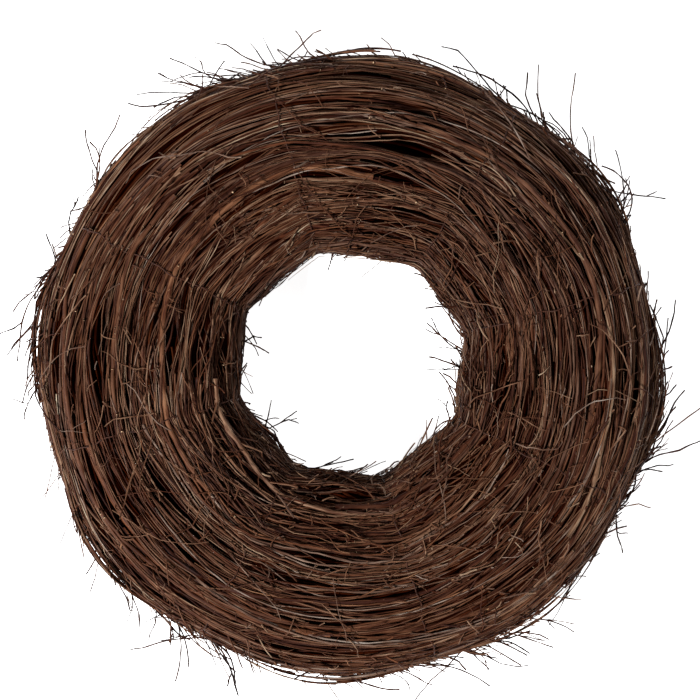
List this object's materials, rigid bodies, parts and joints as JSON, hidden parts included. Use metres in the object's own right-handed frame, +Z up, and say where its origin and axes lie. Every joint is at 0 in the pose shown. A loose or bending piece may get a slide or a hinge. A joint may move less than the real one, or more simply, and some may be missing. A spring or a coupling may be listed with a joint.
{
  "type": "wreath frame",
  "caption": "Thick ring of dark brushwood twigs laid round a steel hoop and bound with fine wires, used as a base for decorated wreaths",
  "frame": {"origin": "centre of the ring, on the surface that its flat back lies on", "axes": "+Z runs up along the ring's axis, out of the front face; +Y is the top of the wreath when it hangs, +X is to the right seen from the front"},
  "size_m": [0.437, 0.437, 0.1009],
  "materials": {
    "rim_twigs": "dry dark-brown bark, matt with a faint sheen",
    "front_outer_twigs": "dry dark-brown bark, matt with a faint sheen",
    "front_inner_twigs": "dry dark-brown bark, matt with a faint sheen",
    "hole_twigs": "dry dark-brown bark, matt with a faint sheen",
    "back_inner_twigs": "dry dark-brown bark, matt with a faint sheen",
    "back_outer_twigs": "dry dark-brown bark, matt with a faint sheen",
    "core_twigs": "dry dark-brown bark, matt with a faint sheen",
    "loose_twigs": "dry dark-brown bark, matt with a faint sheen",
    "binding_steel": "dark brown lacquered iron wire",
    "hoop_steel": "plain drawn wire"
  },
  "bodies": {
    "root": {"hoop_wire": "hoop_steel", "core_bundle_front": "core_twigs", "core_bundle_back": "core_twigs", "rim_bundle_1": "rim_twigs", "rim_bundle_2": "rim_twigs", "rim_bundle_3": "rim_twigs", "rim_bundle_4": "rim_twigs", "front_outer_bundle_1": "front_outer_twigs", "front_outer_bundle_2": "front_outer_twigs", "front_outer_bundle_3": "front_outer_twigs", "front_outer_bundle_4": "front_outer_twigs", "front_inner_bundle_1": "front_inner_twigs", "front_inner_bundle_2": "front_inner_twigs", "front_inner_bundle_3": "front_inner_twigs", "front_inner_bundle_4": "front_inner_twigs", "hole_bundle_1": "hole_twigs", "hole_bundle_2": "hole_twigs", "hole_bundle_3": "hole_twigs", "hole_bundle_4": "hole_twigs", "back_inner_bundle_1": "back_inner_twigs", "back_inner_bundle_2": "back_inner_twigs", "back_inner_bundle_3": "back_inner_twigs", "back_inner_bundle_4": "back_inner_twigs", "back_outer_bundle_1": "back_outer_twigs", "back_outer_bundle_2": "back_outer_twigs", "back_outer_bundle_3": "back_outer_twigs", "back_outer_bundle_4": "back_outer_twigs", "binding_wire_1": "binding_steel", "binding_wire_2": "binding_steel", "binding_wire_3": "binding_steel", "binding_wire_4": "binding_steel", "binding_wire_5": "binding_steel", "binding_wire_6": "binding_steel", "binding_wire_7": "binding_steel", "binding_wire_8": "binding_steel", "rim_twig_1": "loose_twigs", "rim_twig_2": "loose_twigs", "rim_twig_3": "loose_twigs", "rim_twig_4": "loose_twigs", "rim_twig_5": "loose_twigs", "rim_twig_6": "loose_twigs", "rim_twig_7": "loose_twigs", "rim_twig_8": "loose_twigs", "rim_twig_9": "loose_twigs", "rim_twig_10": "loose_twigs", "rim_twig_11": "loose_twigs", "rim_twig_12": "loose_twigs", "hole_twig_1": "loose_twigs", "hole_twig_2": "loose_twigs", "hole_twig_3": "loose_twigs", "hole_twig_4": "loose_twigs", "forked_twig_1": "loose_twigs", "forked_twig_2": "loose_twigs", "forked_twig_3": "loose_twigs", "forked_twig_4": "loose_twigs"}
  },
  "joints": []
}
